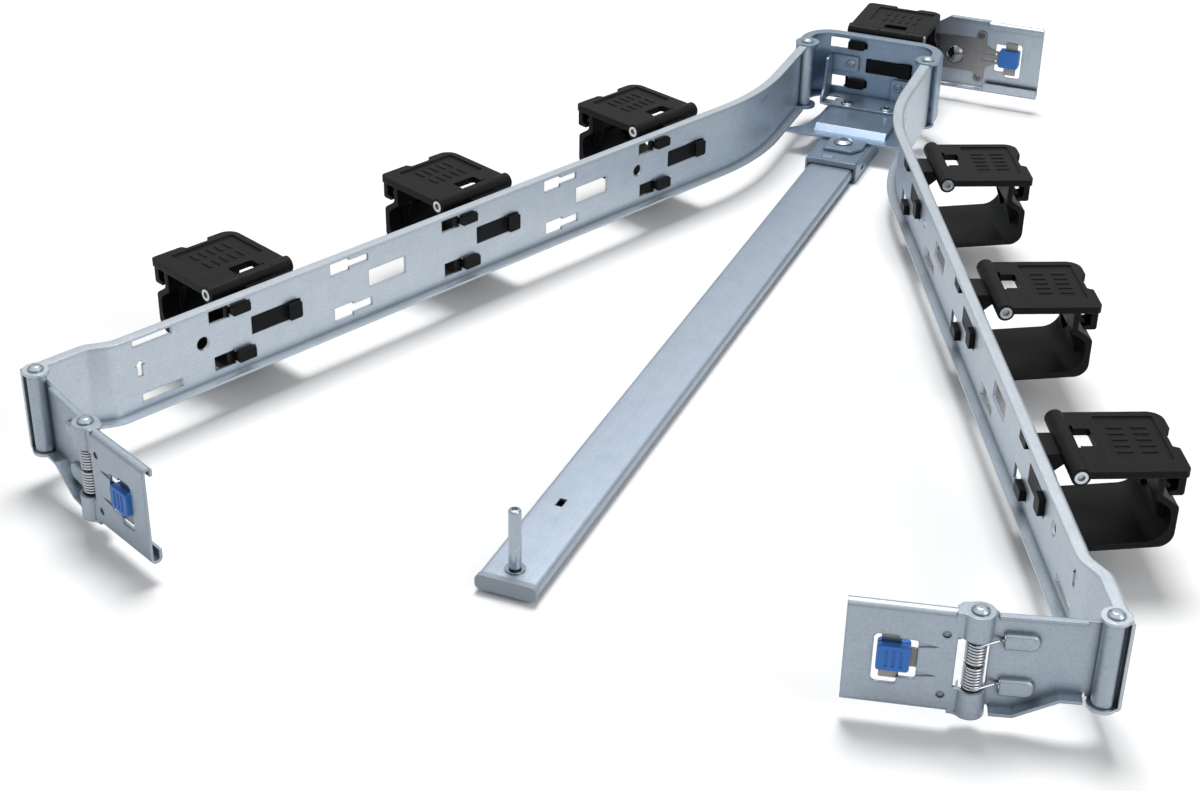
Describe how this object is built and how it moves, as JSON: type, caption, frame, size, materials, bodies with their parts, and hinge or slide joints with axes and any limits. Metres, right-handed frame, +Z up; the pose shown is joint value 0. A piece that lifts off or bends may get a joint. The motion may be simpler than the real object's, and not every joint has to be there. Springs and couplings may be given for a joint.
{
  "type": "server cable management arm",
  "caption": "Folding cable management arm for a rack server: hinged channel arms with lidded cable baskets, a sliding support rail and push-button latch plates.",
  "frame": {"origin": "middle of the footprint at the lowest face, under the support rail's sliding sleeve", "axes": "+Z up, +Y along the support rail from its mounting pin towards the elbow, +X towards the right-hand arm"},
  "size_m": [0.354, 0.4821, 0.0441],
  "materials": {
    "zinc_steel": "satin",
    "bright_steel": "polished",
    "spring_steel": "satin",
    "black_plastic": "satin",
    "blue_plastic": "satin",
    "grey_plastic": "satin"
  },
  "bodies": {
    "rail": {"support_rail": "zinc_steel", "rail_end_cap": "grey_plastic", "rail_mounting_pin": "bright_steel", "rail_snap_ring": "bright_steel"},
    "far_latch": {"rail_inner_slide": "zinc_steel", "far_latch_plate": "zinc_steel", "far_latch_leaf": "spring_steel", "far_latch_rivets": "bright_steel"},
    "far_button": {"far_latch_button": "blue_plastic"},
    "slider": {"slider_sleeve": "zinc_steel", "slider_liner": "grey_plastic", "pivot_rivet": "bright_steel"},
    "elbow": {"elbow_link": "zinc_steel", "elbow_bracket": "zinc_steel", "elbow_rivets": "bright_steel", "support_plate": "zinc_steel", "basket_body_elbow": "black_plastic", "basket_pin_elbow": "bright_steel", "pin_elbow_left": "bright_steel", "pin_elbow_right": "bright_steel"},
    "arm_left": {"arm_left": "zinc_steel", "pin_front_left": "bright_steel", "basket_body_left_1": "black_plastic", "basket_pin_left_1": "bright_steel", "basket_body_left_2": "black_plastic", "basket_pin_left_2": "bright_steel", "basket_body_left_3": "black_plastic", "basket_pin_left_3": "bright_steel"},
    "link_left": {"link_plate_left": "zinc_steel", "pin_latch_left": "bright_steel", "latch_springs_left": "spring_steel"},
    "latch_left": {"latch_plate_left": "zinc_steel", "latch_leaf_left": "spring_steel", "latch_rivets_left": "bright_steel"},
    "button_left": {"latch_button_left": "blue_plastic"},
    "arm_right": {"arm_right": "zinc_steel", "pin_front_right": "bright_steel", "basket_body_right_1": "black_plastic", "basket_pin_right_1": "bright_steel", "basket_body_right_2": "black_plastic", "basket_pin_right_2": "bright_steel", "basket_body_right_3": "black_plastic", "basket_pin_right_3": "bright_steel"},
    "link_right": {"link_plate_right": "zinc_steel", "pin_latch_right": "bright_steel", "latch_springs_right": "spring_steel"},
    "latch_right": {"latch_plate_right": "zinc_steel", "latch_leaf_right": "spring_steel", "latch_rivets_right": "bright_steel"},
    "button_right": {"latch_button_right": "blue_plastic"},
    "lid_left_1": {"basket_lid_left_1": "black_plastic"},
    "lid_left_2": {"basket_lid_left_2": "black_plastic"},
    "lid_left_3": {"basket_lid_left_3": "black_plastic"},
    "lid_right_1": {"basket_lid_right_1": "black_plastic"},
    "lid_right_2": {"basket_lid_right_2": "black_plastic"},
    "lid_right_3": {"basket_lid_right_3": "black_plastic"},
    "lid_elbow": {"basket_lid_elbow": "black_plastic"}
  },
  "joints": [
    {"name": "far_latch_slide", "type": "slide", "parent": "rail", "child": "far_latch", "axis": [0, 1, 0], "range_m": [0, 0.03]},
    {"name": "far_button_push", "type": "slide", "parent": "far_latch", "child": "far_button", "axis": [0, -1, 0], "range_m": [0, 0.0012], "stiffness_N_per_m": 300, "springref_m": -0.002, "deforming": ["far_latch_leaf"]},
    {"name": "slider_travel", "type": "slide", "parent": "rail", "child": "slider", "axis": [0, 1, 0], "range_m": [-0.1, 0]},
    {"name": "elbow_turn", "type": "hinge", "parent": "slider", "child": "elbow", "pos_m": [-0.0056, 0.1458, 0.01], "axis": [0, 0, 1], "range_deg": [-8, 8]},
    {"name": "arm_left_turn", "type": "hinge", "parent": "elbow", "child": "arm_left", "pos_m": [-0.0327, 0.1738, 0.0276], "axis": [0, 0, 1], "range_deg": [-30, 4]},
    {"name": "link_left_turn", "type": "hinge", "parent": "arm_left", "child": "link_left", "pos_m": [-0.16689, -0.2062, 0.0276], "axis": [0, 0, 1], "range_deg": [-40, 40]},
    {"name": "latch_left_turn", "type": "hinge", "parent": "link_left", "child": "latch_left", "pos_m": [-0.13645, -0.22406, 0.0239], "axis": [0, 0, 1], "range_deg": [-25, 25], "stiffness_Nm_per_rad": 0.05, "deforming": ["latch_springs_left"]},
    {"name": "button_left_push", "type": "slide", "parent": "latch_left", "child": "button_left", "axis": [0.4258, 0.9048, 0], "range_m": [0, 0.0012], "stiffness_N_per_m": 300, "springref_m": -0.002, "deforming": ["latch_leaf_left"]},
    {"name": "arm_right_turn", "type": "hinge", "parent": "elbow", "child": "arm_right", "pos_m": [0.0215, 0.1738, 0.0276], "axis": [0, 0, 1], "range_deg": [-4, 30]},
    {"name": "link_right_turn", "type": "hinge", "parent": "arm_right", "child": "link_right", "pos_m": [0.17005, -0.20082, 0.0276], "axis": [0, 0, 1], "range_deg": [-40, 40]},
    {"name": "latch_right_turn", "type": "hinge", "parent": "link_right", "child": "latch_right", "pos_m": [0.1361, -0.21049, 0.0239], "axis": [0, 0, 1], "range_deg": [-25, 25], "stiffness_Nm_per_rad": 0.05, "deforming": ["latch_springs_right"]},
    {"name": "button_right_push", "type": "slide", "parent": "latch_right", "child": "button_right", "axis": [-0.2164, 0.9763, 0], "range_m": [0, 0.0012], "stiffness_N_per_m": 300, "springref_m": -0.002, "deforming": ["latch_leaf_right"]},
    {"name": "lid_left_1_turn", "type": "hinge", "parent": "arm_left", "child": "lid_left_1", "pos_m": [-0.14061, -0.12212, 0.0405], "axis": [0.3875, 0.9219, 0], "range_deg": [0, 105]},
    {"name": "lid_left_2_turn", "type": "hinge", "parent": "arm_left", "child": "lid_left_2", "pos_m": [-0.10062, -0.02698, 0.0405], "axis": [0.3875, 0.9219, 0], "range_deg": [0, 105]},
    {"name": "lid_left_3_turn", "type": "hinge", "parent": "arm_left", "child": "lid_left_3", "pos_m": [-0.06063, 0.06816, 0.0405], "axis": [0.3875, 0.9219, 0], "range_deg": [0, 105]},
    {"name": "lid_right_1_turn", "type": "hinge", "parent": "arm_right", "child": "lid_right_1", "pos_m": [0.14059, -0.1178, 0.0405], "axis": [0.4223, -0.9065, 0], "range_deg": [0, 105]},
    {"name": "lid_right_2_turn", "type": "hinge", "parent": "arm_right", "child": "lid_right_2", "pos_m": [0.09701, -0.02425, 0.0405], "axis": [0.4223, -0.9065, 0], "range_deg": [0, 105]},
    {"name": "lid_right_3_turn", "type": "hinge", "parent": "arm_right", "child": "lid_right_3", "pos_m": [0.05343, 0.0693, 0.0405], "axis": [0.4223, -0.9065, 0], "range_deg": [0, 105]},
    {"name": "lid_elbow_turn", "type": "hinge", "parent": "elbow", "child": "lid_elbow", "pos_m": [-0.0048, 0.202, 0.0405], "axis": [1, 0, 0], "range_deg": [0, 105]}
  ]
}
